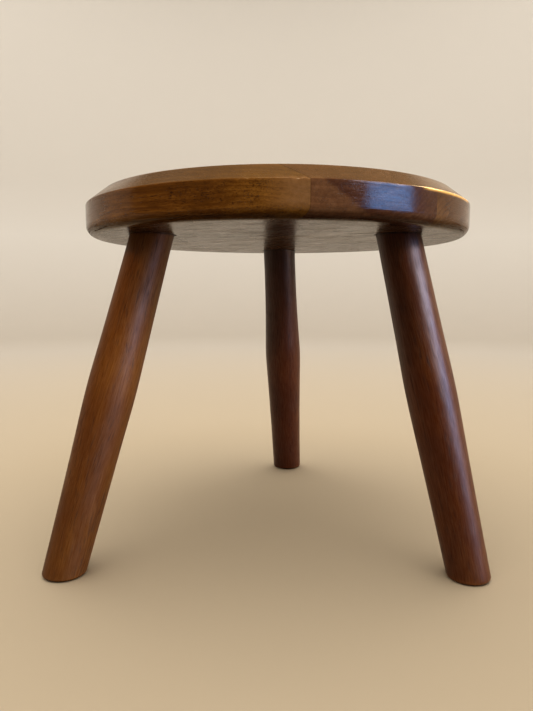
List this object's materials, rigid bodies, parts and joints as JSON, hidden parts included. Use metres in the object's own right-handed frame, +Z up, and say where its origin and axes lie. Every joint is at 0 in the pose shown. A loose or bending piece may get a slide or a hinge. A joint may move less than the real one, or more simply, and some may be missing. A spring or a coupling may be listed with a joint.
{
  "type": "milking stool",
  "caption": "Low round wooden stool: a bevelled seat glued up from boards, on splayed turned legs whose tenons pass through the seat and are wedged. For sitting at a low job.",
  "frame": {"origin": "on the floor, at the middle of the rectangle that the stool takes up in plan; the seat's axis is 8.1 mm towards +X and 16.4 mm towards -Y from it", "axes": "+Z up through the seat, +Y towards the back leg, +X to the right as seen from the front"},
  "size_m": [0.3163, 0.3328, 0.274],
  "materials": {
    "seat_wood": "satin varnish over a dark walnut stain",
    "leg_wood": "satin varnish over a dark reddish walnut stain",
    "wedge_wood": "satin varnish over a paler hardwood"
  },
  "bodies": {
    "root": {"seat_board_front_edge": "seat_wood", "seat_board_front": "seat_wood", "seat_board_middle": "seat_wood", "seat_board_back": "seat_wood", "seat_board_back_edge": "seat_wood", "leg_back": "leg_wood", "leg_left": "leg_wood", "leg_right": "leg_wood", "wedge_back": "wedge_wood", "wedge_left": "wedge_wood", "wedge_right": "wedge_wood"}
  },
  "joints": []
}
